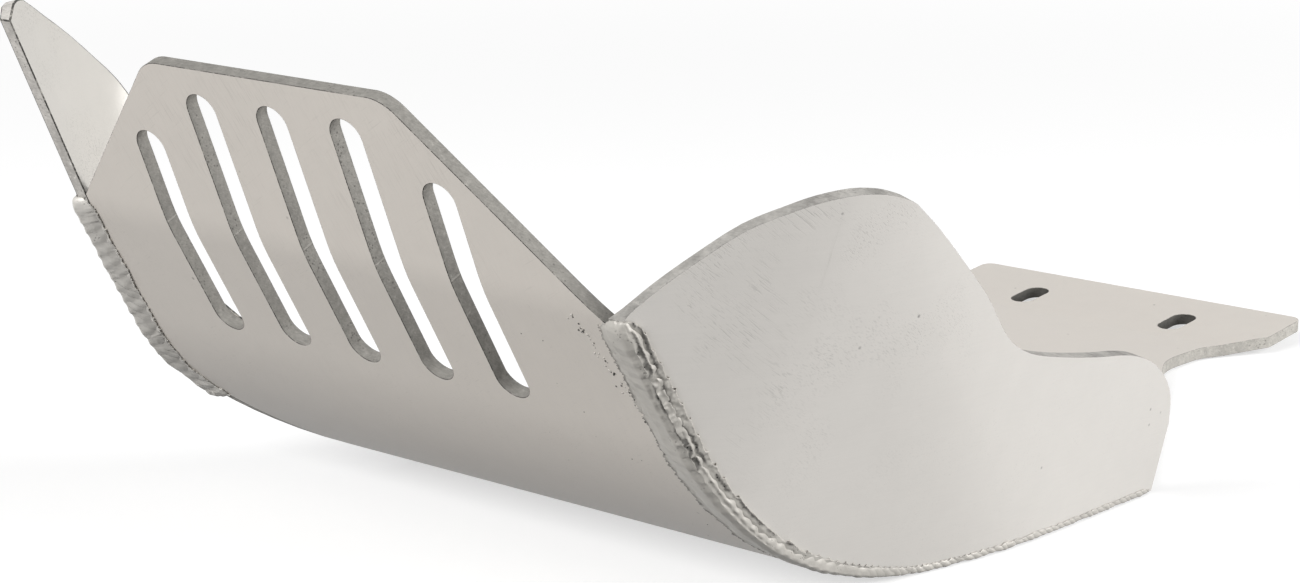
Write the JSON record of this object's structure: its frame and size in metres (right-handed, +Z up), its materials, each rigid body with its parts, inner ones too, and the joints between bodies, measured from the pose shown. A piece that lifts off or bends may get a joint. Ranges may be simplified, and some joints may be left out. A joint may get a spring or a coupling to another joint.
{
  "type": "motorcycle skid plate",
  "caption": "Folded aluminium skid plate with a slotted front panel, two unlike welded side plates and a slotted rear mounting tab.",
  "frame": {"origin": "on the belly's underside, on the centre line between the vent slots, 80 mm behind the start of the front bend", "axes": "+Z up, -Y towards the motorcycle's front, where the slotted panel rises; +X towards the motorcycle's left side, the side of the large wing"},
  "size_m": [0.2663, 0.439, 0.1486],
  "materials": {
    "sheet": "bare satin sheet with fine scratches",
    "side_sheet": "bare satin sheet with fine scratches",
    "weld": "rippled weld bead, as laid"
  },
  "bodies": {
    "root": {"main_plate": "sheet", "left_wing": "side_sheet", "right_wing": "side_sheet", "left_weld": "weld", "right_weld": "weld"}
  },
  "joints": []
}
